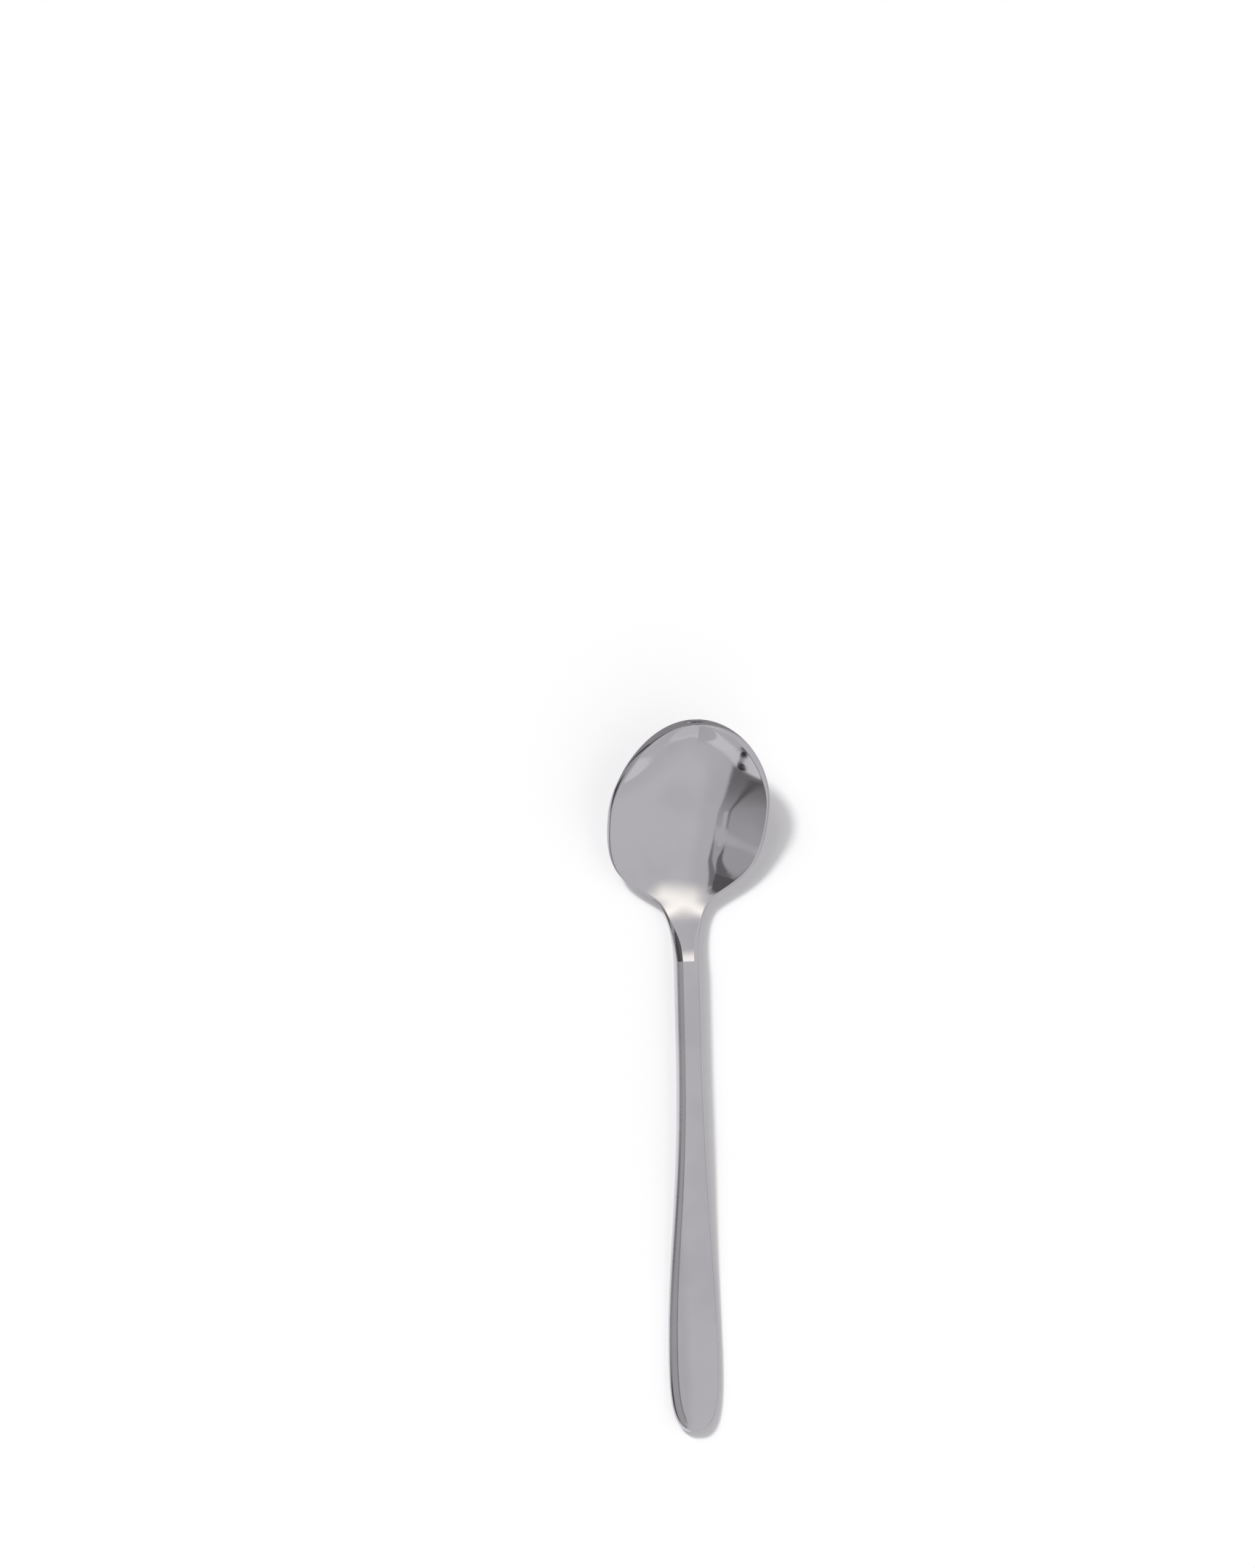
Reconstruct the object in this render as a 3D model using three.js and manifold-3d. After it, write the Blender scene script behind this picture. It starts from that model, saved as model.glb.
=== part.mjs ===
// Polished steel teaspoon, lying on its back with the hollow of the bowl facing up.
// Millimetres, +Z up. It lies along Y with the bowl towards +Y, and rests on z = 0. The origin is under the
// middle of its length. Distances along the spoon are counted from the rounded end of the handle.

import * as THREE from "three";
import Module from "manifold-3d";
import { mergeVertices } from "three/addons/utils/BufferGeometryUtils.js";

// Lengths along the spoon
const handleLength = 92.5; // rounded end to the crest, where the bowl's tail begins
const tailLength = 12; // crest to the shoulder, where the tail opens into the bowl
const shoulderToWidest = 17.5; // shoulder to the widest line of the bowl
const widestToTip = 18; // widest line of the bowl to its tip
const deepestBehindWidest = 10.1; // from the widest line back to the deepest point
const handleWidestAt = 14; // rounded end to the widest line of the handle
const taperLength = 62; // widest line of the handle to the straight neck
const restLength = 20; // stretch of the handle that lies flat on the table
const riseLength = 46; // stretch over which the handle climbs to the neck
const flankTaper = 60; // rounded end to where the handle's flanks have the neck's width
const flankHold = 2.5; // stretch of the tail along which its round flanks keep their width
const flankLength = 9; // stretch of the tail after which they have run out into the rim
const rimLowAt = 10.5; // crest to the lowest point of the rim's outer line
const widestToFront = 6; // widest line of the bowl to where its section takes its final form
const widestToWideRim = 12; // and to where the rim has its full width

// Widths
const bowlWidth = 33;
const shoulderWidth = 12.2;
const neckWidth = 5.3;
const handleWidth = 10.3;
const flankWidth = 1.5; // round flank of the neck and the crest, seen from above
const endFlankWidth = 2.6; // and of the handle at its end
const tailBand = 0.5; // width of the rim seen from above, at the shoulder
const rimBand = 0.7; // along the sides of the bowl
const tipBand = 1.2; // and round its front

// Heights and thicknesses
const neckLift = 1.8; // underside of the neck above the table
const neckThickness = 2.85;
const endThickness = 2.5;
const sideRise = 1.4; // widest line of the handle's section above its underside
const endCrown = 0.15; // dome of the handle's top near the end
const bowlWall = 1.66; // at the deepest point
const tipHeight = 13.35; // top of the rim at the tip, above the table
const rimDrop = 0.6; // height of the rim's inner line above its outer one, along the bowl's front half
const tailDrop = 0.15; // and at the shoulder
const rimLowHeight = 2.35; // lowest point of the rim's outer line above the table
const rampBlend = 0.29; // height within which the ramp's edges pass from the ramp to the rim
const endRise = 1.5; // length over which the underside rounds up to the end of the handle

// Directions in degrees
const shoulderAngle = 58; // outline of the shoulder, from the spoon's length
const rampAngle = 8.2; // slope of the ramp just below the crest
const tipWallAngle = 39.5; // slope of the bowl's wall at the tip
const rimTipAngle = 2.8; // slope of the rim at the tip, seen from the side

// How far each curve keeps to its direction at its ends, as a share of the stretch it crosses
const pull = {
  taperAtNeck: 0.47,
  taperAtWidest: 0.3,
  endAtWidest: 0.64,
  endAtMiddle: 0.86,
  tailAtCrest: 0.375,
  tailAtShoulder: 0.25,
  sideAtShoulder: 0.43,
  sideAtWidest: 0.69,
  frontAtWidest: 0.39,
  frontAtTip: 0.62,
  keelAtCrest: 0.34,
  keelBehindDeepest: 0.24,
  keelAheadOfDeepest: 0.33,
  keelAtTip: 0.2,
  floorAtCrest: 0.195,
  floorBehindDeepest: 0.38,
  floorAheadOfDeepest: 0.33,
  floorAtTip: 0.2,
  rimAtCrest: 0.33,
  rimBehindLow: 0.33,
  rimAheadOfLow: 0.36,
  rimAtTip: 0.33,
};

// Forms of the sections, as shares
const flatShare = 0.6; // middle of the underside that is flat on the handle and the neck
const tailHollow = 0.67; // bluntness of the hollow's middle in the tail: less has straighter sides
const frontHollow = 0.46; // and in the front of the bowl
const flankRoundness = 1; // 1 is a quarter of an ellipse from the top to the edge, 0 a straight bevel
const rimRoundness = 0.45;

// Tongue of the tail, brazed into a socket in the handle
const tongueLength = 5;
const tongueWidth = 2;
const tongueThickness = 1.2;
const tongueRise = 0.6; // underside of the tongue above the underside of the neck
const tongueRoot = 2; // how far the tongue's block reaches back into the tail
const brazeGap = 0.1;

// Fineness of the faceted surfaces
const bowlStations = 40;
const bowlColumns = 16;
const handleStations = 34;
const handleColumns = 8;
const bowlCrowding = 1; // 1 spaces the stations evenly, more draws them towards the round end
const handleCrowding = 1.5;
const edgeShares = [1 / 3, 2 / 3]; // lines on a flank or rim between its inner and its outer edge
const heightSteps = 40; // halvings in the search for a height on a curve
const roundEndTrim = 1; // outline length left out at a round end, where a short flat facet closes it

const crestAt = handleLength;
const shoulderAt = crestAt + tailLength;
const widestAt = shoulderAt + shoulderToWidest;
const tipAt = widestAt + widestToTip;
const deepestAt = widestAt - deepestBehindWidest;
const flanksEndAt = crestAt + flankLength;
const frontAt = widestAt + widestToFront;
const wideRimAt = widestAt + widestToWideRim;
const crestHeight = neckLift + neckThickness;
const sideHeight = neckLift + sideRise; // widest line of the neck's section above the table
const tipEdgeHeight = tipHeight - rimDrop;

const { lerp, smoothstep, degToRad } = THREE.MathUtils;
const slope = (degrees) => Math.tan(degToRad(degrees));
const at = (along, across) => new THREE.Vector2(along, across);
const bezier = (...points) => new THREE.CubicBezierCurve(...points);

// Half of the handle's outline, from the crest to the rounded end
function handleOutline() {
  const half = handleWidth / 2;
  const neckHalf = neckWidth / 2;
  const neckAt = handleWidestAt + taperLength;
  const path = new THREE.CurvePath();
  path.add(new THREE.LineCurve(at(crestAt, neckHalf), at(neckAt, neckHalf)));
  path.add(
    bezier(
      at(neckAt, neckHalf),
      at(neckAt - pull.taperAtNeck * taperLength, neckHalf),
      at(handleWidestAt + pull.taperAtWidest * taperLength, half),
      at(handleWidestAt, half),
    ),
  );
  path.add(
    bezier(
      at(handleWidestAt, half),
      at((1 - pull.endAtWidest) * handleWidestAt, half),
      at(0, pull.endAtMiddle * half),
      at(0, 0),
    ),
  );
  return path;
}

// Half of the outline of the tail and the bowl, from the crest to the tip
function bowlOutline() {
  const half = bowlWidth / 2;
  const neckHalf = neckWidth / 2;
  const shoulder = at(shoulderAt, shoulderWidth / 2);
  const heading = at(Math.cos(degToRad(shoulderAngle)), Math.sin(degToRad(shoulderAngle)));
  const fillet = shoulder.clone().addScaledVector(heading, -pull.tailAtShoulder * tailLength);
  const swell = shoulder.clone().addScaledVector(heading, pull.sideAtShoulder * shoulderToWidest);
  const path = new THREE.CurvePath();
  path.add(
    bezier(at(crestAt, neckHalf), at(crestAt + pull.tailAtCrest * tailLength, neckHalf), fillet, shoulder),
  );
  path.add(
    bezier(shoulder, swell, at(widestAt - pull.sideAtWidest * shoulderToWidest, half), at(widestAt, half)),
  );
  path.add(
    bezier(
      at(widestAt, half),
      at(widestAt + pull.frontAtWidest * widestToTip, half),
      at(tipAt, pull.frontAtTip * half),
      at(tipAt, 0),
    ),
  );
  return path;
}

// Points along an outline with their inward offsets: the top's edge lies inside the underside's edge
function edgeStations(path, count, crowding, bandAt) {
  const reach = 1 - roundEndTrim / path.getLength();
  return Array.from({ length: count + 1 }, (_, index) => {
    const share = reach * (1 - (1 - index / count) ** crowding);
    const outer = path.getPointAt(share);
    const tangent = path.getTangentAt(share);
    const outward = at(-tangent.y, tangent.x);
    outward.multiplyScalar(Math.sign(outward.y));
    const inner = outer.clone().addScaledVector(outward, -bandAt(outer.x));
    return { outer, inner };
  });
}

// Height of a side-view curve at a distance along the spoon
function heightOn(curve, along) {
  let low = 0;
  let high = 1;
  for (let step = 0; step < heightSteps; step += 1) {
    const middle = (low + high) / 2;
    const before = curve.getPoint(middle).x < along;
    low = before ? middle : low;
    high = before ? high : middle;
  }
  return curve.getPoint(low).y;
}

// Side view of the handle: its underside, its top and the dome of the top
const handleLift = (along) => neckLift * smoothstep(along, restLength, restLength + riseLength);
const towardsNeck = (along) => smoothstep(along, 0, handleLength);
const roundedEnd = (along) => sideRise * Math.max(0, 1 - along / endRise) ** 2;
const handleUnderside = (along) => handleLift(along) + roundedEnd(along);
const handleTop = (along) => handleLift(along) + lerp(endThickness, neckThickness, towardsNeck(along));
const handleSideLine = (along) => handleLift(along) + sideRise;
const handleCrown = (along) => endCrown * (1 - towardsNeck(along));
const handleFlank = (along) => lerp(endFlankWidth, flankWidth, smoothstep(along, 0, flankTaper));

// Side view of the tail and the bowl: the keel under them, the floor of the hollow and the rim's outer line
const level = 0;

// A curve of the side view between two points, with its slope and pull at each of them
function sideCurve(start, startSlope, startPull, end, endSlope, endPull) {
  const span = end.x - start.x;
  return bezier(
    start,
    at(start.x + startPull * span, start.y + startPull * span * startSlope),
    at(end.x - endPull * span, end.y - endPull * span * endSlope),
    end,
  );
}

const keelCrest = at(crestAt, neckLift);
const keelDeepest = at(deepestAt, 0);
const keelTip = at(tipAt, tipEdgeHeight);
const keelBack = sideCurve(keelCrest, level, pull.keelAtCrest, keelDeepest, level, pull.keelBehindDeepest);
const keelFront = sideCurve(
  ...[keelDeepest, level, pull.keelAheadOfDeepest],
  ...[keelTip, slope(tipWallAngle), pull.keelAtTip],
);
const floorCrest = at(crestAt, crestHeight);
const floorDeepest = at(deepestAt, bowlWall);
const floorTip = at(tipAt - tipBand, tipHeight);
const floorBack = sideCurve(
  ...[floorCrest, -slope(rampAngle), pull.floorAtCrest],
  ...[floorDeepest, level, pull.floorBehindDeepest],
);
const floorFront = sideCurve(
  ...[floorDeepest, level, pull.floorAheadOfDeepest],
  ...[floorTip, slope(tipWallAngle), pull.floorAtTip],
);
const rimCrest = at(crestAt, sideHeight);
const rimLow = at(crestAt + rimLowAt, rimLowHeight);
const rimBack = sideCurve(rimCrest, level, pull.rimAtCrest, rimLow, level, pull.rimBehindLow);
const rimFront = sideCurve(rimLow, level, pull.rimAheadOfLow, keelTip, slope(rimTipAngle), pull.rimAtTip);
const keel = (along) => heightOn(along < deepestAt ? keelBack : keelFront, along);
const floorHeight = (along) => heightOn(along < deepestAt ? floorBack : floorFront, along);
const rimHeight = (along) => heightOn(along < rimLow.x ? rimBack : rimFront, along);
const intoRim = (along) => smoothstep(along, crestAt + flankHold, flanksEndAt);
const intoBowl = (along) => smoothstep(along, crestAt, shoulderAt);
const intoFront = (along) => smoothstep(along, shoulderAt, widestAt);

function edgeBand(along) {
  const side = lerp(tailBand, rimBand, intoFront(along));
  const rim = lerp(side, tipBand, smoothstep(along, widestAt, wideRimAt));
  return lerp(flankWidth, rim, intoRim(along));
}

// Height of the top's edge: it keeps to the ramp, which is flat across, until the ramp dives below the rim
function edgeTop(innerAlong, outerAlong) {
  const rim = rimHeight(outerAlong) + lerp(tailDrop, rimDrop, intoFront(outerAlong));
  const ramp = floorHeight(innerAlong);
  const higher = (rim + ramp + Math.hypot(rim - ramp, rampBlend)) / 2;
  return lerp(higher, rim, intoFront(outerAlong));
}

// Forms of a section, from 0 in the middle to 1 at its edges: flat with rounded edges under the handle and
// the neck, hollow in the bowl and under it
const flatUnderside = (across) => (Math.max(0, Math.abs(across) - flatShare) / (1 - flatShare)) ** 2;

function hollow(along, across) {
  const round = lerp(tailHollow, frontHollow, smoothstep(along, flanksEndAt, frontAt));
  return (Math.hypot(round, across) - round) / (Math.hypot(round, 1) - round);
}

// The two skins of a piece: rows of points from the crest outwards, across the spoon from edge to edge.
// towards is 1 for the bowl, which runs towards +Y, and -1 for the handle.
function skins(stations, columns, towards, topAt, undersideAt) {
  const shares = Array.from({ length: columns + 1 }, (_, index) => (2 * index) / columns - 1);
  const row = (edge, heightAt) =>
    shares.map((across) => new THREE.Vector3(towards * across * edge.y, edge.x, heightAt(across)));
  return {
    top: stations.map(({ outer, inner }) => row(inner, (across) => topAt(inner.x, outer.x, across))),
    underside: stations.map(({ outer }) => row(outer, (across) => undersideAt(outer.x, across))),
  };
}

// The open border of a skin: out along one side, across the round end and back along the other side
function borderOf(skin) {
  const across = skin.at(-1).slice(1, -1);
  return [...skin.map((row) => row[0]), ...across, ...skin.map((row) => row.at(-1)).reverse()];
}

// A line part of the way down the flank or rim between two borders
function edgeLine(upper, lower, share, roundnessAt) {
  const turn = (share * Math.PI) / 2;
  return upper.map((point, index) => {
    const edge = lower[index];
    const roundness = roundnessAt(edge.y);
    const outwards = lerp(share, Math.sin(turn), roundness);
    const down = lerp(share, 1 - Math.cos(turn), roundness);
    return point.clone().lerp(edge, outwards).setZ(lerp(point.z, edge.z, down));
  });
}

// One closed body from a top skin, an underside skin and the rounded edge between them, flat at the crest
function closedBody({ top, underside }, roundnessAt) {
  const corners = [];
  const faces = [];
  const number = (points) => points.map((point) => corners.push(point) - 1);
  const quad = (a, b, c, d) => faces.push(a, b, c, a, c, d);
  const topRows = top.map(number);
  const lowRows = underside.map(number);
  for (let i = 0; i + 1 < topRows.length; i += 1) {
    for (let j = 0; j + 1 < topRows[i].length; j += 1) {
      quad(topRows[i][j], topRows[i][j + 1], topRows[i + 1][j + 1], topRows[i + 1][j]);
      quad(lowRows[i][j], lowRows[i + 1][j], lowRows[i + 1][j + 1], lowRows[i][j + 1]);
    }
  }
  const lower = borderOf(lowRows);
  let above = borderOf(topRows);
  for (const share of edgeShares) {
    const line = number(edgeLine(borderOf(top), borderOf(underside), share, roundnessAt));
    for (let k = 0; k + 1 < line.length; k += 1) {
      quad(above[k], above[k + 1], line[k + 1], line[k]);
    }
    faces.push(lower[0], above[0], line[0], lower.at(-1), line.at(-1), above.at(-1));
    above = line;
  }
  for (let k = 0; k + 1 < lower.length; k += 1) {
    quad(above[k], above[k + 1], lower[k + 1], lower[k]);
  }
  for (let j = 0; j + 1 < topRows[0].length; j += 1) {
    quad(topRows[0][j], lowRows[0][j], lowRows[0][j + 1], topRows[0][j + 1]);
  }
  const geometry = new THREE.BufferGeometry();
  geometry.setFromPoints(corners);
  geometry.setIndex(faces);
  return geometry;
}

const wasm = await Module();
wasm.setup();

// A closed geometry as a solid that can be joined and cut, and back
function toSolid(geometry) {
  const bare = geometry.clone();
  bare.deleteAttribute("normal");
  bare.deleteAttribute("uv");
  const merged = mergeVertices(bare);
  const vertProperties = new Float32Array(merged.attributes.position.array);
  const triVerts = new Uint32Array(merged.index.array);
  return new wasm.Manifold(new wasm.Mesh({ numProp: 3, vertProperties, triVerts }));
}

function toGeometry(solid) {
  const mesh = solid.getMesh();
  const geometry = new THREE.BufferGeometry();
  geometry.setAttribute("position", new THREE.BufferAttribute(new Float32Array(mesh.vertProperties), 3));
  geometry.setIndex(Array.from(mesh.triVerts));
  geometry.computeVertexNormals();
  return geometry;
}

// A block in the middle of the neck's section, from one distance along the spoon to another
function neckBlock(from, to, growth) {
  const block = new THREE.BoxGeometry(tongueWidth + 2 * growth, to - from, tongueThickness + 2 * growth);
  block.translate(0, (from + to) / 2, neckLift + tongueRise + tongueThickness / 2);
  return toSolid(block);
}

function makeBowl() {
  const stations = edgeStations(bowlOutline(), bowlStations, bowlCrowding, edgeBand);
  const topAt = (innerAlong, outerAlong, across) => {
    const edge = edgeTop(innerAlong, outerAlong);
    return lerp(floorHeight(innerAlong), edge, hollow(outerAlong, across));
  };
  const undersideAt = (along, across) => {
    const form = lerp(flatUnderside(across), hollow(along, across), intoBowl(along));
    return lerp(keel(along), rimHeight(along), form);
  };
  const roundnessAt = (along) => lerp(flankRoundness, rimRoundness, intoRim(along));
  const shell = toSolid(closedBody(skins(stations, bowlColumns, 1, topAt, undersideAt), roundnessAt));
  const tongue = neckBlock(crestAt - tongueLength, crestAt + tongueRoot, 0);
  return toGeometry(shell.add(tongue));
}

function makeHandle() {
  const stations = edgeStations(handleOutline(), handleStations, handleCrowding, handleFlank);
  const topAt = (along, _, across) => handleTop(along) - handleCrown(along) * across ** 2;
  const undersideAt = (along, across) =>
    lerp(handleUnderside(along), handleSideLine(along), flatUnderside(across));
  const handleSkins = skins(stations, handleColumns, -1, topAt, undersideAt);
  const bar = toSolid(closedBody(handleSkins, () => flankRoundness));
  const socket = neckBlock(crestAt - tongueLength - brazeGap, crestAt + tongueRoot, brazeGap);
  return toGeometry(bar.subtract(socket));
}

const steelColour = 0xb6b3b8;
const steelRoughness = 0.12;
const polishedSteel = () =>
  new THREE.MeshStandardMaterial({ color: steelColour, roughness: steelRoughness, metalness: 1 });

const spoon = new THREE.Group();

const bowl = new THREE.Mesh(makeBowl(), polishedSteel());
bowl.name = "bowl";
spoon.add(bowl);

const handle = new THREE.Mesh(makeHandle(), polishedSteel());
handle.name = "handle";
spoon.add(handle);

const extent = new THREE.Box3().setFromObject(spoon);
spoon.position.y = -(extent.min.y + extent.max.y) / 2;
spoon.updateMatrixWorld(true);

export default spoon;
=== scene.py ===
# %% [markdown]
# # A polished steel teaspoon
# The spoon lies on its back on a white table, seen from nearly straight above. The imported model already
# holds both pieces, the bowl with its tail and the handle, as faceted solids. A mirror finish shows
# every facet, so this lesson presses both pieces again as smooth skins in the same frame, polishes them
# and lights them.

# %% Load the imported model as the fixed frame
import math

import bpy
import numpy as np
from mathutils import Matrix, Vector


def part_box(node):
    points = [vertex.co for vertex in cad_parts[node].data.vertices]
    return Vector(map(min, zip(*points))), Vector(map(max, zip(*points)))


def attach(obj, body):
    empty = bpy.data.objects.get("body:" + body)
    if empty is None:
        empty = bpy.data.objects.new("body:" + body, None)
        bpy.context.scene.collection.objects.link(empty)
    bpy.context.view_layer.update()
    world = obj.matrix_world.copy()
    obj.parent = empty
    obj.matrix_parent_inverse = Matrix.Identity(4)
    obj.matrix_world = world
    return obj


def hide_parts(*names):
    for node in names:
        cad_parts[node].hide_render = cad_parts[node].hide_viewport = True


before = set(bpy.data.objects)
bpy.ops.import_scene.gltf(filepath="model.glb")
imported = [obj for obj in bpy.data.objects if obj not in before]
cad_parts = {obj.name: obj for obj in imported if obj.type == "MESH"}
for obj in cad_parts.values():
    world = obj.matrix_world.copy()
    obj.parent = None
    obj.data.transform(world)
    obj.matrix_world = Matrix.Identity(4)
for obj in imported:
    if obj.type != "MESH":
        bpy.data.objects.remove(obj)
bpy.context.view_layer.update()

# %% [markdown]
# ## Sizes
# The large sizes are read from the solids, so the skins always fit them: where the two pieces meet,
# where each one ends, how wide and how high they are. The small ones, in metres, say how each stretch is
# shaped. A spoon is the same on both sides, so widths are halved and counted from the middle.

# %% Read the large sizes from the solids
handle_low, handle_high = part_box("handle")
_, bowl_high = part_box("bowl")
crest_y = handle_high.y
end_y = handle_low.y
tip_y = bowl_high.y
handle_half = handle_high.x
bowl_half = bowl_high.x
crest_height = handle_high.z
tip_height = bowl_high.z
print(f"handle {crest_y - end_y:.4f} m long, bowl and tail {tip_y - crest_y:.4f} m long")

# %% Name the small sizes
neck_half = 0.00265
neck_length = 0.0165  # stretch of the handle beside the crest with straight sides
handle_widest_back = 0.014  # from the handle's end to its widest line
tail_length = 0.012  # crest to the shoulder, where the tail opens into the bowl
shoulder_half = 0.0061
widest_back = 0.018  # from the tip back to the widest line of the bowl
deepest_back = 0.0281  # and to the deepest point
front_ahead = 0.006  # from the widest line to where the section takes its final form
wide_rim_ahead = 0.012  # and to where the rim has its full width
neck_lift = 0.0018  # underside of the neck above the table
bowl_wall = 0.00166  # at the deepest point
side_rise = 0.0014  # widest line of the handle's section above its underside
end_thickness = 0.0025
end_crown = 0.00015  # dome of the handle's top near its end
end_rise = 0.0015  # length over which the underside rounds up to the end
rest_length = 0.02  # stretch of the handle that lies flat on the table
rise_length = 0.046  # stretch over which it climbs to the neck
rim_low_ahead = 0.0105  # from the crest to the lowest point of the rim's outer line
rim_low_height = 0.00235
flank_hold = 0.0025  # stretch of the tail along which its round flanks keep their width
flank_length = 0.009  # stretch after which they have run out into the rim
flank_band = 0.0015  # width of the round flanks at the crest, seen from above
end_flank_band = 0.0026  # and at the handle's end
flank_taper = 0.06  # from the handle's end to where its flanks have the width they have at the crest
tail_band = 0.0005  # width of the rim at the shoulder
rim_band = 0.0007  # along the sides of the bowl
rim_front_band = 0.0012  # and round its front
rim_drop = 0.0006  # height of the rim's inner line above its outer one, in the front half
tail_drop = 0.00015  # and at the shoulder
ramp_blend = 0.00029  # height within which the ramp's edges pass from the ramp to the rim
flat_share = 0.6  # middle of the underside that is flat on the handle and the neck
tail_hollow = 0.67  # bluntness of the hollow's middle in the tail: less has straighter sides
front_hollow = 0.46  # and in the front of the bowl
neck_thickness = crest_height - neck_lift
shoulder_y = crest_y + tail_length
widest_y = tip_y - widest_back
deepest_y = tip_y - deepest_back
rim_tip_height = tip_height - rim_drop

# %% Name how far each curve keeps to its direction at its ends, as a share of the stretch it crosses
pull = {
    "taper_at_neck": 0.47,
    "taper_at_widest": 0.3,
    "end_at_widest": 0.64,
    "end_at_middle": 0.86,
    "tail_at_crest": 0.375,
    "tail_at_shoulder": 0.25,
    "side_at_shoulder": 0.43,
    "side_at_widest": 0.69,
    "front_at_widest": 0.39,
    "front_at_tip": 0.62,
    "keel_at_crest": 0.34,
    "keel_behind": 0.24,  # behind the deepest point, towards the handle
    "floor_at_crest": 0.195,
    "floor_behind": 0.38,
    "wall_ahead": 0.33,  # ahead of the deepest point, for the floor and the keel
    "wall_at_tip": 0.2,
    "rim_at_crest": 0.33,
    "rim_behind_low": 0.33,
    "rim_ahead_of_low": 0.36,
    "rim_at_tip": 0.33,
}

# %% [markdown]
# ## Curves
# Each outline and each side view is a chain of Bezier curves. Blender could draw them as curve objects,
# but a pressed skin needs the curve's place at any point, so a short function samples them into closely
# spaced points and numpy reads between those.

# %% Sample chains of Bezier curves
fine = np.linspace(0, 1, 401)


def chain(*curves):
    """Close points along a chain of cubic curves, as a row of places along and a row of places across."""
    pieces = []
    for corners in curves:
        a, b, c, d = (np.array(corner)[:, None] for corner in corners)
        left = 1 - fine
        pieces.append(left**3 * a + 3 * left**2 * fine * b + 3 * left * fine**2 * c + fine**3 * d)
    return np.hstack(pieces)


def side_curve(start, start_slope, start_pull, end, end_slope, end_pull):
    """A cubic curve of the side view, which keeps to its slope at each end for a share of its span."""
    span = end[0] - start[0]
    after = (start[0] + start_pull * span, start[1] + start_pull * span * start_slope)
    before = (end[0] - end_pull * span, end[1] - end_pull * span * end_slope)
    return start, after, before, end


def height(line, y):
    return float(np.interp(y, *line))


def mix(a, b, share):
    return a + (b - a) * share


def ease(y, start, end):
    """0 before start, 1 after end, and a smooth step between them."""
    share = min(max((y - start) / (end - start), 0), 1)
    return share * share * (3 - 2 * share)


def slope(degrees):
    return math.tan(math.radians(degrees))


# %% Draw half of each outline, from the crest outwards
shoulder_heading = math.radians(58)  # of the outline at the shoulder, from the spoon's length


def along_heading(point, distance):
    along = point[0] + distance * math.cos(shoulder_heading)
    across = point[1] + distance * math.sin(shoulder_heading)
    return along, across


neck_y = crest_y - neck_length
handle_widest_y = end_y + handle_widest_back
taper = neck_y - handle_widest_y
swell = widest_y - shoulder_y
shoulder = (shoulder_y, shoulder_half)
neck_side = ((crest_y, neck_half), (mix(crest_y, neck_y, 1 / 3), neck_half))
handle_outline = chain(
    (*neck_side, (mix(crest_y, neck_y, 2 / 3), neck_half), (neck_y, neck_half)),
    (
        (neck_y, neck_half),
        (neck_y - pull["taper_at_neck"] * taper, neck_half),
        (handle_widest_y + pull["taper_at_widest"] * taper, handle_half),
        (handle_widest_y, handle_half),
    ),
    (
        (handle_widest_y, handle_half),
        (mix(handle_widest_y, end_y, pull["end_at_widest"]), handle_half),
        (end_y, pull["end_at_middle"] * handle_half),
        (end_y, 0),
    ),
)
bowl_outline = chain(
    (
        (crest_y, neck_half),
        (crest_y + pull["tail_at_crest"] * tail_length, neck_half),
        along_heading(shoulder, -pull["tail_at_shoulder"] * tail_length),
        shoulder,
    ),
    (
        shoulder,
        along_heading(shoulder, pull["side_at_shoulder"] * swell),
        (widest_y - pull["side_at_widest"] * swell, bowl_half),
        (widest_y, bowl_half),
    ),
    (
        (widest_y, bowl_half),
        (widest_y + pull["front_at_widest"] * widest_back, bowl_half),
        (tip_y, pull["front_at_tip"] * bowl_half),
        (tip_y, 0),
    ),
)
print("outlines run", handle_outline.shape[1], "and", bowl_outline.shape[1], "points")

# %% Draw the side view of the bowl
ramp_angle = 8.2  # degrees, just below the crest
wall_angle = 39.5  # at the tip
rim_angle = 2.8  # of the rim at the tip, seen from the side
keel_line = chain(
    side_curve((crest_y, neck_lift), 0, pull["keel_at_crest"], (deepest_y, 0), 0, pull["keel_behind"]),
    side_curve(
        *[(deepest_y, 0), 0, pull["wall_ahead"]],
        *[(tip_y, rim_tip_height), slope(wall_angle), pull["wall_at_tip"]],
    ),
)
floor_tip = (tip_y - rim_front_band, tip_height)
floor_line = chain(
    side_curve(
        *[(crest_y, crest_height), -slope(ramp_angle), pull["floor_at_crest"]],
        *[(deepest_y, bowl_wall), 0, pull["floor_behind"]],
    ),
    side_curve(
        *[(deepest_y, bowl_wall), 0, pull["wall_ahead"]],
        *[floor_tip, slope(wall_angle), pull["wall_at_tip"]],
    ),
)
side_height = neck_lift + side_rise
rim_low = (crest_y + rim_low_ahead, rim_low_height)
rim_line = chain(
    side_curve((crest_y, side_height), 0, pull["rim_at_crest"], rim_low, 0, pull["rim_behind_low"]),
    side_curve(
        *[rim_low, 0, pull["rim_ahead_of_low"]],
        *[(tip_y, rim_tip_height), slope(rim_angle), pull["rim_at_tip"]],
    ),
)
print(f"the floor falls to {floor_line[1].min():.5f} m, the rim to {rim_line[1].min():.5f} m")

# %% [markdown]
# ## Skins
# A press shapes a flat blank between two dies. Here the blank is a grid, and the die is a function that
# says where each of its points goes: how far along the spoon (0 at the crest, 1 at the round end) and
# how far across it (-1 to 1). Modelling such double curves by hand would leave waves in the mirror, so
# the die does it.

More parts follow.
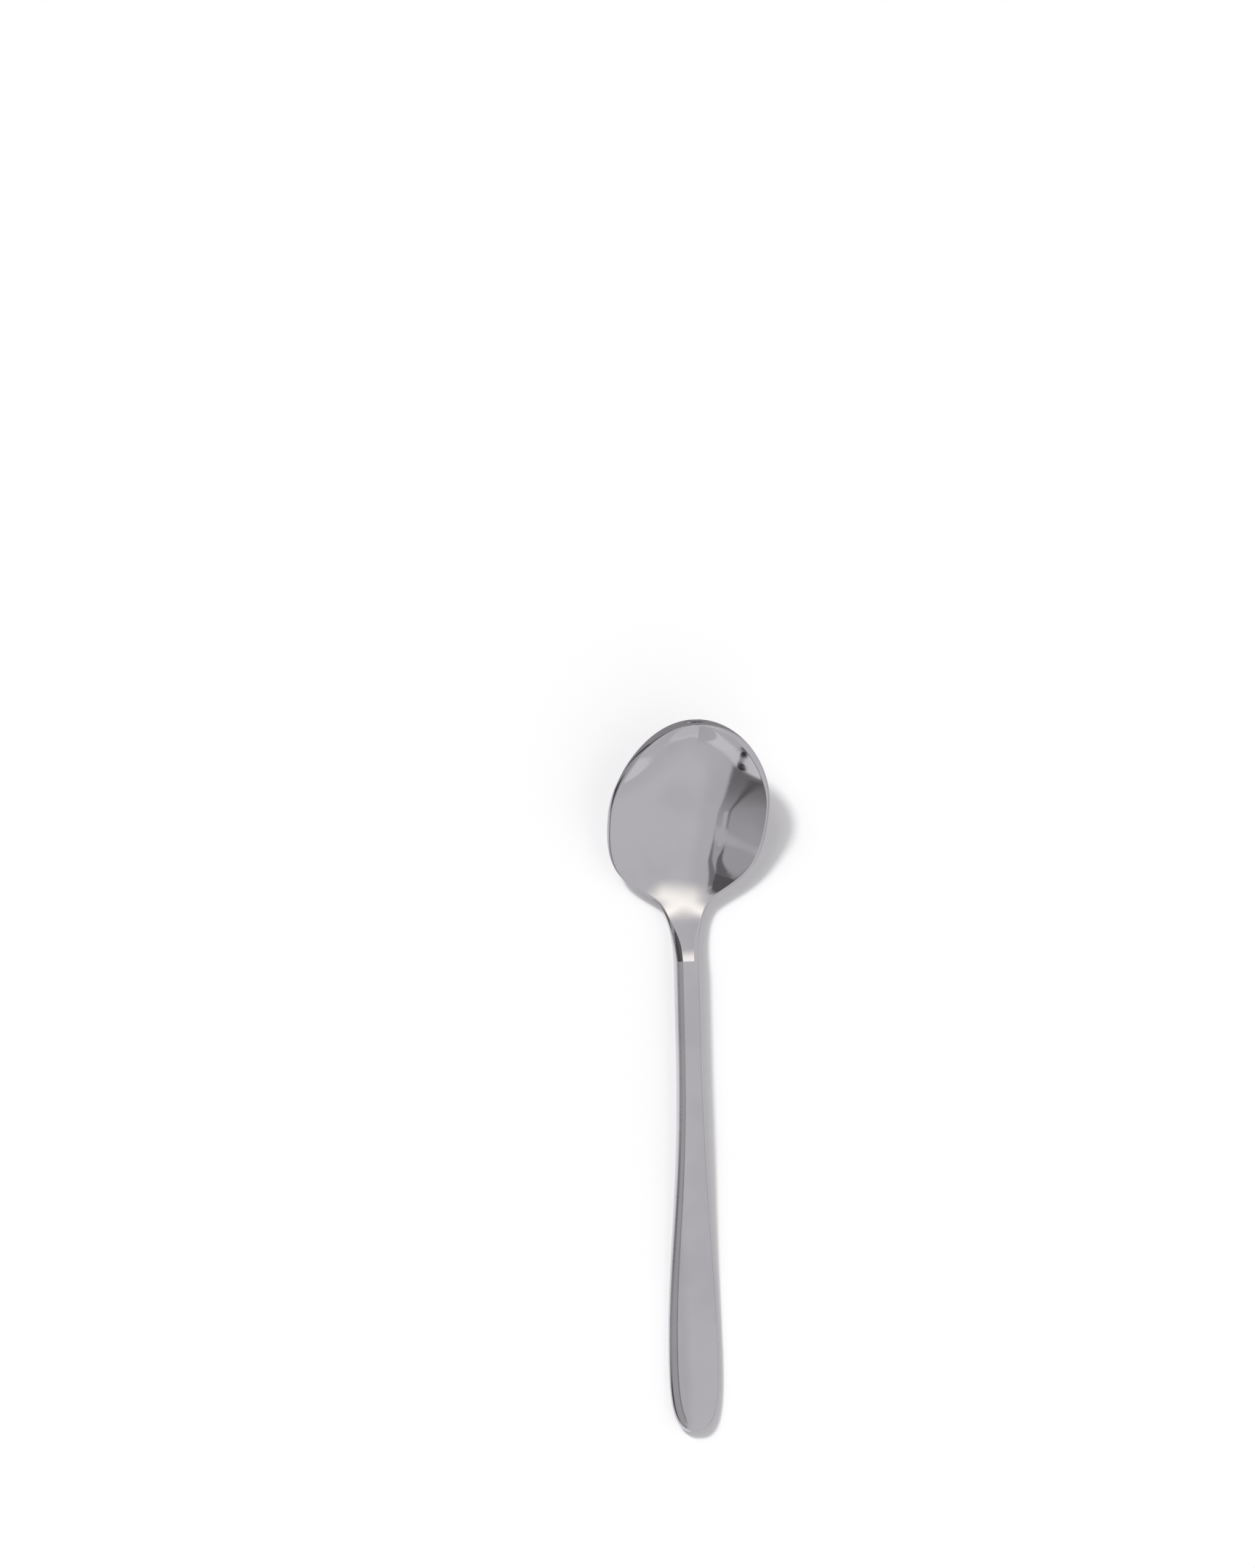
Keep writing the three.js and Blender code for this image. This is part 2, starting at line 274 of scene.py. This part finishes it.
# %% Stations along an outline
def stations(outline, band_at, crowding, trim):
    """A function that gives the outer and the inner edge, as (along, across), at a share of an outline."""
    steps = np.hypot(*np.diff(outline))
    lengths = np.concatenate([[0], np.cumsum(steps)])
    headings = np.gradient(outline, axis=1)
    reach = lengths[-1] - trim

    def station(share):
        length = reach * (1 - (1 - share) ** crowding)
        outer = np.array([np.interp(length, lengths, row) for row in outline])
        heading = np.array([np.interp(length, lengths, row) for row in headings])
        inward = np.array([heading[1], -heading[0]]) / np.hypot(*heading)
        inward *= -np.sign(inward[1])
        return outer, outer + inward * band_at(outer[0])

    return station


def flat_underside(across):
    return (max(0, abs(across) - flat_share) / (1 - flat_share)) ** 2


# %% The die of the handle
def handle_lift(y):
    return neck_lift * ease(y, end_y + rest_length, end_y + rest_length + rise_length)


def handle_band(y):
    return mix(end_flank_band, flank_band, ease(y, end_y, end_y + flank_taper))


flat_half = handle_half - end_flank_band  # half of the flat top where the handle is widest
handle_station = stations(handle_outline, handle_band, crowding=1.5, trim=0.0006)


def handle_top(share, across):
    _, inner = handle_station(share)
    to_neck = ease(inner[0], end_y, crest_y)
    x = across * inner[1]
    dome = end_crown * (1 - to_neck) * (x / flat_half) ** 2
    z = handle_lift(inner[0]) + mix(end_thickness, neck_thickness, to_neck) - dome
    return Vector((x, inner[0], z))


def handle_underside(share, across):
    outer, _ = handle_station(share)
    rounded_end = side_rise * max(0, 1 - (outer[0] - end_y) / end_rise) ** 2
    z = handle_lift(outer[0]) + mix(rounded_end, side_rise, flat_underside(across))
    return Vector((across * outer[1], outer[0], z))


# %% The die of the bowl
def hollow(y, across):
    """Form of the hollow's section, from 0 in the middle to 1 at its edges."""
    blunt = mix(tail_hollow, front_hollow, ease(y, crest_y + flank_length, widest_y + front_ahead))
    return (math.hypot(blunt, across) - blunt) / (math.hypot(blunt, 1) - blunt)


def into_rim(y):
    return ease(y, crest_y + flank_hold, crest_y + flank_length)


def into_front(y):
    return ease(y, shoulder_y, widest_y)


def bowl_band(y):
    side = mix(tail_band, rim_band, into_front(y))
    rim = mix(side, rim_front_band, ease(y, widest_y, widest_y + wide_rim_ahead))
    return mix(flank_band, rim, into_rim(y))


bowl_station = stations(bowl_outline, bowl_band, crowding=1.6, trim=0.0008)


def edge_top(inner_y, outer_y):
    """Height of the top's edge: it keeps to the ramp, flat across, until the ramp dives below the rim."""
    rim = height(rim_line, outer_y) + mix(tail_drop, rim_drop, into_front(outer_y))
    ramp = height(floor_line, inner_y)
    higher = (rim + ramp + math.hypot(rim - ramp, ramp_blend)) / 2
    return mix(higher, rim, into_front(outer_y))


def bowl_top(share, across):
    outer, inner = bowl_station(share)
    edge = edge_top(inner[0], outer[0])
    z = mix(height(floor_line, inner[0]), edge, hollow(outer[0], across))
    return Vector((across * inner[1], inner[0], z))


def bowl_underside(share, across):
    outer, _ = bowl_station(share)
    bowl_form = hollow(outer[0], across)
    form = mix(flat_underside(across), bowl_form, ease(outer[0], crest_y, shoulder_y))
    z = mix(height(keel_line, outer[0]), height(rim_line, outer[0]), form)
    return Vector((across * outer[1], outer[0], z))


# %% Tools for pressing a skin
columns = 16  # faces across a skin
edge_lines = 4  # lines on a flank or rim
rounding_levels = 2  # how often the subdivision halves each face
tiny = 1e-6  # points nearer than this are one point


def deselect_all():
    bpy.ops.object.select_all(action="DESELECT")


def make_active(piece):
    deselect_all()
    piece.select_set(True)
    bpy.context.view_layer.objects.active = piece


def address(vertex_data, name, index):
    return vertex_data.attributes[name].data[index].value


def press_blank(name, rows, die):
    """A grid whose points move to where the die puts them. Each point keeps its address on the spoon."""
    deselect_all()
    bpy.ops.mesh.primitive_grid_add(x_subdivisions=columns, y_subdivisions=rows, size=1)
    skin = bpy.context.object
    skin.name = name
    mesh = skin.data
    along = mesh.attributes.new("along", "FLOAT", "POINT")
    across = mesh.attributes.new("across", "FLOAT", "POINT")
    mesh.attributes.new("edge", "FLOAT", "POINT")
    for vertex in mesh.vertices:
        share = vertex.co.y + 0.5
        side = math.sin(math.pi * vertex.co.x)
        along.data[vertex.index].value = share
        across.data[vertex.index].value = side
        vertex.co = die(share, side)
    return skin


def select_open_edges(piece):
    """Puts a piece in edit mode with only the edges of its open border selected."""
    make_active(piece)
    bpy.ops.object.mode_set(mode="EDIT")
    bpy.ops.mesh.select_mode(type="EDGE")
    bpy.ops.mesh.select_all(action="DESELECT")
    bpy.ops.mesh.select_non_manifold(
        use_wire=False, use_multi_face=False, use_non_contiguous=False, use_verts=False
    )


def select_border(piece):
    """Selects the open border of a skin, apart from the row that lies in the joint at the crest."""
    select_open_edges(piece)
    bpy.ops.object.mode_set(mode="OBJECT")
    mesh = piece.data
    for edge in mesh.edges:
        if all(address(mesh, "along", index) < tiny for index in edge.vertices):
            edge.select = False


def draw_edge(piece, top, underside, roundness_at):
    """Draws the border down to the underside in a few lines, each one an extrusion set on its own curve."""
    select_border(piece)
    for line in range(1, edge_lines + 1):
        bpy.ops.object.mode_set(mode="EDIT")
        bpy.ops.mesh.extrude_edges_move()
        bpy.ops.object.mode_set(mode="OBJECT")
        mesh = piece.data
        share = line / edge_lines
        turn = share * math.pi / 2
        for vertex in mesh.vertices:
            if not vertex.select:
                continue
            place = [address(mesh, name, vertex.index) for name in ("along", "across")]
            high, low = top(*place), underside(*place)
            roundness = roundness_at(low.y)
            outward = mix(share, math.sin(turn), roundness)
            down = mix(share, 1 - math.cos(turn), roundness)
            vertex.co = (mix(high.x, low.x, outward), mix(high.y, low.y, outward), mix(high.z, low.z, down))
            mesh.attributes["edge"].data[vertex.index].value = math.sin(math.pi * share)


def press_piece(name, rows, top, underside, roundness_at):
    """Both skins and the edge between them as one smooth shell, open only at the joint."""
    piece = press_blank(name, rows, top)
    draw_edge(piece, top, underside, roundness_at)
    under = press_blank(name + "_underside", rows, underside)
    make_active(piece)
    under.select_set(True)
    bpy.ops.object.join()
    bpy.ops.object.mode_set(mode="EDIT")
    bpy.ops.mesh.select_all(action="SELECT")
    bpy.ops.mesh.remove_doubles(threshold=tiny)
    bpy.ops.mesh.normals_make_consistent(inside=False)
    bpy.ops.object.mode_set(mode="OBJECT")
    rounding = piece.modifiers.new("rounding", "SUBSURF")
    rounding.levels = rounding.render_levels = rounding_levels
    bpy.ops.object.modifier_apply(modifier=rounding.name)
    return piece


# %% [markdown]
# ## The joint
# The bowl's tail ends in a short tongue, which is brazed into a socket in the handle. Both grow from the
# flat face of the joint: the open border is filled, copied in place, drawn in to the tongue's section,
# and pushed along the spoon. The same steps pull the tongue out of the bowl and sink the socket into the
# handle.

# %% Tools for the joint
tongue_length = 0.005
tongue_width = 0.002
tongue_thickness = 0.0012
tongue_rise = 0.0006  # underside of the tongue above the underside of the neck
tongue_height = neck_lift + tongue_rise + tongue_thickness / 2
braze_gap = 0.0001
crease_angle = math.radians(40)  # edges sharper than this stay crisp


def grow_from_joint(piece, width, thickness, length):
    """Closes the joint's open border and pushes a smaller copy of it towards the handle's end."""
    select_open_edges(piece)
    bpy.ops.mesh.edge_face_add()
    bpy.ops.mesh.select_mode(type="FACE")
    bpy.ops.mesh.extrude_region_move()
    middle = (0, crest_y, neck_lift + neck_thickness / 2)
    scale = (width / (2 * neck_half), 1, thickness / neck_thickness)
    bpy.ops.transform.resize(value=scale, center_override=middle)
    bpy.ops.transform.translate(value=(0, 0, tongue_height - middle[2]))
    bpy.ops.mesh.extrude_region_move(TRANSFORM_OT_translate={"value": (0, -length, 0)})
    bpy.ops.mesh.select_all(action="SELECT")
    bpy.ops.mesh.normals_make_consistent(inside=False)
    bpy.ops.object.mode_set(mode="OBJECT")


def finish_piece(piece, node):
    bpy.ops.object.shade_smooth_by_angle(angle=crease_angle)
    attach(piece, "root")
    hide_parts(node)
    triangles = sum(len(face.vertices) - 2 for face in piece.data.polygons)
    print(piece.name, "has", triangles, "triangles")


# %% [markdown]
# ## The bowl
# The bowl and its tail are one pressing: a narrow ramp that falls from the crest and opens into an oval
# hollow with a thin flat rim. The edge is round along the tail, as on the handle, and flattens into the
# rim.

# %% Press the bowl
bowl_rows = 60
rim_roundness = 0.45  # 1 is a quarter of an ellipse, 0 a straight bevel


def bowl_roundness(y):
    return mix(1, rim_roundness, into_rim(y))


bowl = press_piece("spoon_bowl", bowl_rows, bowl_top, bowl_underside, bowl_roundness)
grow_from_joint(bowl, tongue_width, tongue_thickness, tongue_length)
finish_piece(bowl, "bowl")

# %% [markdown]
# ## The handle
# The handle is a flat bar with round shoulders that widens to a rounded end. It lies on the table near
# that end and climbs gently to the neck.

# %% Press the handle
handle_rows = 52


def handle_roundness(_):
    return 1


handle = press_piece("spoon_handle", handle_rows, handle_top, handle_underside, handle_roundness)
socket_growth = 2 * braze_gap
grow_from_joint(
    handle, tongue_width + socket_growth, tongue_thickness + socket_growth, tongue_length + braze_gap
)
finish_piece(handle, "handle")

# %% [markdown]
# ## Polished steel
# A polished spoon is nearly a mirror, yet never a perfect one: the polishing wheel leaves faint marks,
# fingers leave patches that shine a little less, and the edges are nicked by other cutlery. Each of
# these is a node group, so that both pieces share it with their own values.

# %% Tools for node trees
def add_node(tree, kind, **settings):
    node = tree.nodes.new(kind)
    for name, value in settings.items():
        setattr(node, name, value)
    return node


def connect(tree, source, target):
    """Joins a socket, or sets a plain value, on an input socket."""
    if isinstance(source, bpy.types.NodeSocket):
        tree.links.new(source, target)
    else:
        target.default_value = source


def math_node(tree, operation, *values):
    node = add_node(tree, "ShaderNodeMath", operation=operation)
    for socket, value in zip(node.inputs, values):
        connect(tree, value, socket)
    return node.outputs["Value"]


def vector_node(tree, operation, first, second, output="Vector"):
    node = add_node(tree, "ShaderNodeVectorMath", operation=operation)
    connect(tree, first, node.inputs[0])
    connect(tree, second, node.inputs[1])
    return node.outputs[output]


def range_node(tree, value, low, high, new_low=0.0, new_high=1.0):
    node = add_node(tree, "ShaderNodeMapRange", interpolation_type="SMOOTHSTEP")
    for name, setting in (
        ("Value", value), ("From Min", low), ("From Max", high), ("To Min", new_low), ("To Max", new_high)
    ):
        connect(tree, setting, node.inputs[name])
    return node.outputs["Result"]


def noise_node(tree, vector, scale, detail):
    node = add_node(tree, "ShaderNodeTexNoise")
    connect(tree, vector, node.inputs["Vector"])
    node.inputs["Scale"].default_value = scale
    node.inputs["Detail"].default_value = detail
    return node.outputs["Fac"]


def new_group(name, inputs, outputs):
    group = bpy.data.node_groups.new(name, "ShaderNodeTree")
    for socket, kind in inputs:
        group.interface.new_socket(socket, in_out="INPUT", socket_type=kind)
    for socket in outputs:
        group.interface.new_socket(socket, in_out="OUTPUT", socket_type="NodeSocketFloat")
    return group, group.nodes.new("NodeGroupInput").outputs, group.nodes.new("NodeGroupOutput").inputs


# %% Marks of the polishing wheel and dull patches
mark_noise = (0.35, 0.75)  # noise at which a mark begins, and at which it is full
patch_noise = (0.4, 0.7)
polish, given, result = new_group(
    "polish", [("Place", "NodeSocketVector"), ("Stretch", "NodeSocketVector")], ["Marks", "Patches"]
)
stretched = vector_node(polish, "MULTIPLY", given["Place"], given["Stretch"])
marks = noise_node(polish, stretched, scale=1, detail=3)
patches = noise_node(polish, given["Place"], scale=90, detail=2)
connect(polish, range_node(polish, marks, *mark_noise), result["Marks"])
connect(polish, range_node(polish, patches, *patch_noise), result["Patches"])

# %% Nicks along the edges
nick_noise = (0.55, 0.7)
edge_range = (0.3, 0.8)  # of the edge attribute, which is 1 halfway down a flank or rim
wear, given, result = new_group(
    "edge_wear", [("Place", "NodeSocketVector"), ("Edge", "NodeSocketFloat")], ["Nicks"]
)
speckles = noise_node(wear, given["Place"], scale=1500, detail=2)
on_edge = range_node(wear, given["Edge"], *edge_range)
nicks = math_node(wear, "MULTIPLY", on_edge, range_node(wear, speckles, *nick_noise))
connect(wear, nicks, result["Nicks"])

# %% The steel of both pieces
bright_steel = (0.66, 0.645, 0.668, 1)
dull_steel = (0.62, 0.605, 0.63, 1)
clean_roughness = 0.018
patch_roughness = 0.015  # more than the clean steel's, as are the next two
mark_roughness = 0.015
nick_roughness = 0.15
mark_depth = 0.0000004
nick_in_marks = 8  # a nick is as deep as this many marks
bowl_stretch = (400, 900, 900)  # the bowl's marks run across it
handle_stretch = (1500, 60, 1500)  # and the handle's along it


def steel(name, stretch):
    """Polished steel whose marks run along the direction that is stretched least."""
    material = bpy.data.materials.new(name)
    material.use_nodes = True
    tree = material.node_tree
    shader = tree.nodes["Principled BSDF"]
    shader.inputs["Metallic"].default_value = 1
    place = add_node(tree, "ShaderNodeTexCoord").outputs["Object"]
    edge = add_node(tree, "ShaderNodeAttribute", attribute_name="edge").outputs["Fac"]
    polished = add_node(tree, "ShaderNodeGroup", node_tree=polish)
    connect(tree, place, polished.inputs["Place"])
    connect(tree, stretch, polished.inputs["Stretch"])
    worn = add_node(tree, "ShaderNodeGroup", node_tree=wear)
    connect(tree, place, worn.inputs["Place"])
    connect(tree, edge, worn.inputs["Edge"])
    tint = add_node(tree, "ShaderNodeMix", data_type="RGBA")
    connect(tree, polished.outputs["Patches"], tint.inputs["Factor"])
    tint.inputs["A"].default_value = bright_steel
    tint.inputs["B"].default_value = dull_steel
    connect(tree, tint.outputs["Result"], shader.inputs["Base Color"])
    gloss = math_node(tree, "MULTIPLY_ADD", polished.outputs["Patches"], patch_roughness, clean_roughness)
    gloss = math_node(tree, "MULTIPLY_ADD", polished.outputs["Marks"], mark_roughness, gloss)
    gloss = math_node(tree, "MULTIPLY_ADD", worn.outputs["Nicks"], nick_roughness, gloss)
    connect(tree, gloss, shader.inputs["Roughness"])
    marks = polished.outputs["Marks"]
    relief = math_node(tree, "MULTIPLY_ADD", worn.outputs["Nicks"], -nick_in_marks, marks)
    bump = add_node(tree, "ShaderNodeBump")
    bump.inputs["Strength"].default_value = 1
    bump.inputs["Distance"].default_value = mark_depth
    connect(tree, relief, bump.inputs["Height"])
    connect(tree, bump.outputs["Normal"], shader.inputs["Normal"])
    return material


bowl.data.materials.append(steel("bowl_steel", bowl_stretch))
handle.data.materials.append(steel("handle_steel", handle_stretch))
print("two steels with", len(polish.nodes) + len(wear.nodes), "shared nodes")

# %% [markdown]
# ## The room
# What one sees in a mirror finish is the room. Overhead hangs one large pale panel with a straight edge
# and a dark frame along it, a lamp lights its front, and there is more light beyond it. On the left are
# a grey wall and dark corners, and ahead a wall with a dark screen. A picture of a room would do too, but
# most of these have straight sides, so each can be written as a few corners on the sky, given by how many
# degrees they lean from straight up: first to the right, then towards the bowl. The lower half of the sky
# stands in for the table, bright on the left and greyer on the right.

# %% Places and patches in the sky
world = bpy.data.worlds.new("studio")
bpy.context.scene.world = world
world.use_nodes = True
sky = world.node_tree
direction = add_node(sky, "ShaderNodeTexCoord").outputs["Generated"]


def aim(right, ahead):
    lean = math.hypot(right, ahead)
    share = math.sin(math.radians(lean)) / lean
    return Vector((right * share, ahead * share, math.cos(math.radians(lean))))


def beside(start, end, softness):
    """A mask that is 1 on the left of the line from one place in the sky to another, seen from above."""
    across = aim(*start).cross(aim(*end)).normalized()
    side = vector_node(sky, "DOT_PRODUCT", direction, across, output="Value")
    return range_node(sky, side, -softness, softness)


def patch(corners, softness):
    """A mask over a patch of the sky with straight sides, its corners given against the clock."""
    mask = 1.0
    for start, end in zip(corners, corners[1:] + corners[:1]):
        mask = math_node(sky, "MULTIPLY", mask, beside(start, end, softness))
    return mask


def spot(place, inner, outer):
    """A mask that fades from 1 within a number of degrees of a place to 0 at another."""
    facing = vector_node(sky, "DOT_PRODUCT", direction, aim(*place), output="Value")
    return range_node(sky, facing, math.cos(math.radians(outer)), math.cos(math.radians(inner)))


def lay(light, mask, colour):
    """The light with a colour laid over it where the mask is 1."""
    layer = add_node(sky, "ShaderNodeMix", data_type="RGBA")
    connect(sky, mask, layer.inputs["Factor"])
    connect(sky, light, layer.inputs["A"])
    layer.inputs["B"].default_value = colour
    return layer.outputs["Result"]


room_tint = (1, 0.985, 1.01)


def grey(level):
    return *(level * share for share in room_tint), 1


# %% Lay the walls and what hangs on the left
light = add_node(sky, "ShaderNodeRGB").outputs["Color"]
light.default_value = grey(0.46)
# the wall on the left, which is paler far out, and the dark behind
light = lay(light, beside((-32, -40), (-32, 40), 0.3), grey(0.37))
light = lay(light, beside((-64, -40), (-64, 40), 0.12), grey(0.66))
light = lay(light, beside((-10, -49), (-40, -49), 0.2), grey(0.2))
# a gleam and a pale strip beside the panel's edge, and a dark gap between them and the panel
light = lay(light, spot((-8, -32), 0.5, 7), grey(0.58))
strip = [(-12.7, -44), (-6.5, -24), (-7.9, -24.3), (-14.3, -44.2)]
light = lay(light, patch(strip, 0.012), grey(0.58))
gap = [(-18.3, -60.3), (-12.2, -37), (-12.4, -37.1), (-19.4, -60.3)]
light = lay(light, patch(gap, 0.006), grey(0.13))
# the dark corners ahead and behind on the left, and the dark by the panel's front corner
light = lay(light, patch([(-12, 5.5), (-16, 17), (-80, 32), (-80, 9)], 0.02), grey(0.09))
light = lay(light, patch([(-42, -7), (-90, -8), (-90, -60), (-42, -50)], 0.05), grey(0.08))
light = lay(light, patch([(0.5, 6.5), (12, 20), (-16, 20), (-12, 2)], 0.012), grey(0.14))

# %% Lay the dark frame along the panel and the wall ahead
light = lay(light, patch([(-8, -36), (5, 10), (2.2, 8)], 0.008), grey(0.24))
light = lay(light, patch([(-9.5, -27), (4.9, 12.7), (0.5, 6.6)], 0.003), grey(0.17))
light = lay(light, patch([(0.7, 0.9), (4.9, 12.7), (0.5, 6.6), (-1.3, 1.6)], 0.003), grey(0.12))
light = lay(light, beside((-40, 17), (40, 17), 0.05), grey(0.34))
# a dark screen on that wall, and a small lamp
light = lay(light, spot((18, 50), 4, 9), grey(0.1))
light = lay(light, spot((13, 49), 0.5, 2), grey(1.6))

# %% Lay the panel overhead, with light beyond it
light = lay(light, beside((50, -61), (-20, -61), 0.008), grey(0.77))
panel = [(9.2, 26), (-15.9, -62.5), (0, -68), (45, -65.2), (59, -57), (88, 0), (80, 36)]
light = lay(light, patch(panel, 0.008), grey(0.605))
panel_middle = [(14, 20), (-5, -60), (50, -60), (66, -49), (88, 0), (80, 26)]
light = lay(light, patch(panel_middle, 0.1), grey(0.665))

# %% Lay the lamp that lights the panel's front
lamp_colour = (1.5, 1.47, 1.36, 1)
lamp_ahead = beside((0, 13), (35, 8.2), 0.095)
lamp_behind = beside((35, 16.4), (0, 17.9), 0.04)
lamp_sides = math_node(sky, "MULTIPLY", lamp_ahead, lamp_behind)
lamp_left = beside((8.2, 20), (7, 4), 0.07)
lamp_right = beside((28.5, 0), (28.3, 20), 0.045)
lamp_ends = math_node(sky, "MULTIPLY", lamp_left, lamp_right)
light = lay(light, math_node(sky, "MULTIPLY", lamp_sides, lamp_ends), lamp_colour)

# %% Lay what is beyond the panel, and the lower half
light = lay(light, beside((50, -63.6), (-20, -64.2), 0.012), grey(0.7))
light = lay(light, patch([(-5.5, -68), (0, -74), (17, -77), (12, -67.5)], 0.01), grey(0.56))
# a dark knob at the panel's corner
light = lay(light, spot((-17.4, -62.4), 0.35, 0.75), grey(0.02))
below = beside((90, 0), (0, -90), 0.02)
light = lay(light, below, grey(0.62))
left_half = beside((-5, -40), (-5, 40), 0.2)
light = lay(light, math_node(sky, "MULTIPLY", below, left_half), grey(0.98))
background = sky.nodes["Background"]
connect(sky, light, background.inputs["Color"])
background.inputs["Strength"].default_value = 1
print("the room has", len(sky.nodes), "nodes")

# %% [markdown]
# ## Table, lamps and camera
# The table is a plain white floor that keeps the spoon's shadow. Mirrors don't see it, because it would
# glare in the flanks: there the lower half of the room stands in for it. A distant lamp from the upper
# left gives the shadow its edge, and a wider one around it the soft fringe. An area lamp could do both,
# but a sun needs no distance. Mirrors see neither, as if they hung behind a screen. The camera stands far
# off with a long lens, leans a little to the left, and is rolled slightly.

# %% Table
table_size = 20
white = (0.96, 0.96, 0.96, 1)
deselect_all()
bpy.ops.mesh.primitive_plane_add(size=table_size)
table = bpy.context.object
table.name = "table"
table_white = bpy.data.materials.new("table_white")
table_white.use_nodes = True
table_shader = table_white.node_tree.nodes["Principled BSDF"]
table_shader.inputs["Base Color"].default_value = white
table_shader.inputs["Roughness"].default_value = 1
table_shader.inputs["Specular IOR Level"].default_value = 0
table.data.materials.append(table_white)
table.visible_glossy = False
print("table", table_size, "m wide")

# %% Key light and the glow around it
key_direction = Vector((-0.86, 0.92, 1))


def hang_lamp(name, energy, width):
    """A distant lamp in the key's direction, as many degrees wide as given, hidden from mirrors."""
    sun = bpy.data.lights.new(name, "SUN")
    sun.energy = energy
    sun.angle = math.radians(width)
    lamp = bpy.data.objects.new(name, sun)
    lamp.rotation_euler = key_direction.to_track_quat("Z", "Y").to_euler()
    lamp.visible_glossy = False
    bpy.context.scene.collection.objects.link(lamp)
    print(name, "is", width, "degrees wide")


hang_lamp("key", energy=2, width=8)
hang_lamp("glow", energy=0.9, width=30)

# %% Camera
lean_left = math.radians(16)
lean_ahead = math.radians(2)
roll = -0.0246
frame_height = 0.3061  # height of the picture at the spoon
distance = 2.5
sensor = 36  # millimetres
sight = 50  # metres that the camera sees
aim_from_spoon = Vector((-0.012307, 0.057057))  # middle of the picture, in the picture's own directions

level_right = Vector((math.cos(lean_left), 0, math.sin(lean_left)))
back = Vector(
    (
        -math.sin(lean_left) * math.cos(lean_ahead),
        math.sin(lean_ahead),
        math.cos(lean_left) * math.cos(lean_ahead),
    )
)
level_up = back.cross(level_right)
right = level_right * math.cos(roll) + level_up * math.sin(roll)
up = level_up * math.cos(roll) - level_right * math.sin(roll)
spoon_middle = Vector((0, 0, 0.004))
target = spoon_middle + right * aim_from_spoon.x + up * aim_from_spoon.y
camera = bpy.data.objects.new("camera", bpy.data.cameras.new("camera"))
camera.data.sensor_width = sensor
camera.data.lens = sensor * distance / frame_height
camera.data.clip_end = sight
camera_turn = Matrix((right, up, back)).transposed().to_4x4()
camera.matrix_world = Matrix.Translation(target + back * distance) @ camera_turn
bpy.context.scene.collection.objects.link(camera)
bpy.context.scene.camera = camera
bpy.context.scene.view_settings.view_transform = "Standard"
print(f"a lens of {camera.data.lens:.0f} mm from {distance} m")
